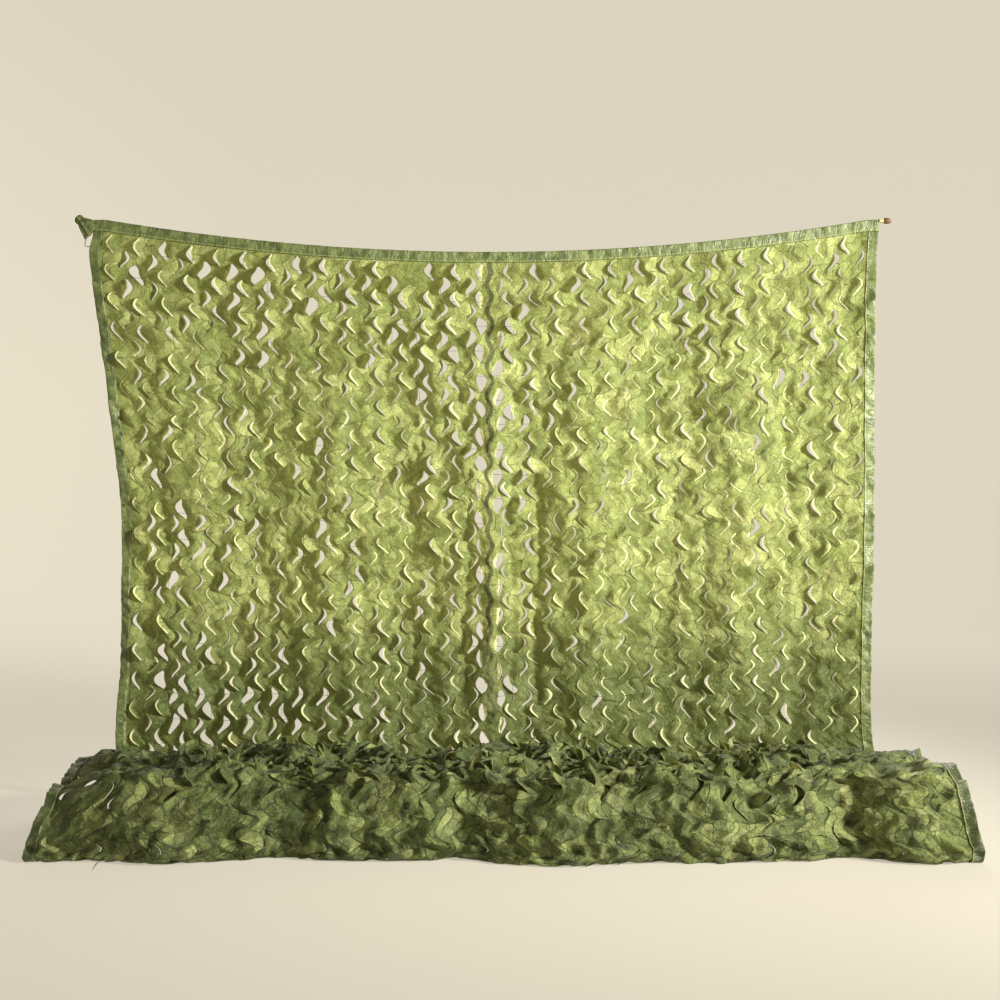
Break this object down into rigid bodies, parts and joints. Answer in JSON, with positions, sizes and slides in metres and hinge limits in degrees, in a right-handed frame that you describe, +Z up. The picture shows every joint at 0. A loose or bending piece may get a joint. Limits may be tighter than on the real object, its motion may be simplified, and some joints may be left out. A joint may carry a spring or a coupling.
{
  "type": "camouflage netting with hanging peg",
  "caption": "Leaf-cut camouflage netting with taped edges and a centre seam, hung by its two top corners, with its spare length laid in folds on the floor in front.",
  "frame": {"origin": "on the floor, under the middle of the box around the net, its cord ends left out", "axes": "+X across the net to the viewer's right, +Y away from the viewer, from the heap to the hang, +Z up"},
  "size_m": [3.083, 0.8888, 2.1939],
  "materials": {
    "leaf_cloth": "woven oxford cloth, olive and yellow green, thin enough to glow where light comes through",
    "edge_tape": "folded woven tape, dark green, softly creased",
    "dark_cord": "thin twisted cord, near black green",
    "peg_wrap": "tan cord wrap, matte",
    "peg_wood": "brown stained wood, satin"
  },
  "bodies": {
    "root": {"panel_left": "leaf_cloth", "panel_right": "leaf_cloth", "binding_top": "edge_tape", "binding_left": "edge_tape", "binding_right": "edge_tape", "binding_bottom": "edge_tape", "corner_knot": "edge_tape", "tie_loop": "dark_cord", "tie_end_1": "dark_cord", "tie_end_2": "dark_cord", "peg_collar": "peg_wrap", "peg": "peg_wood"}
  },
  "joints": []
}
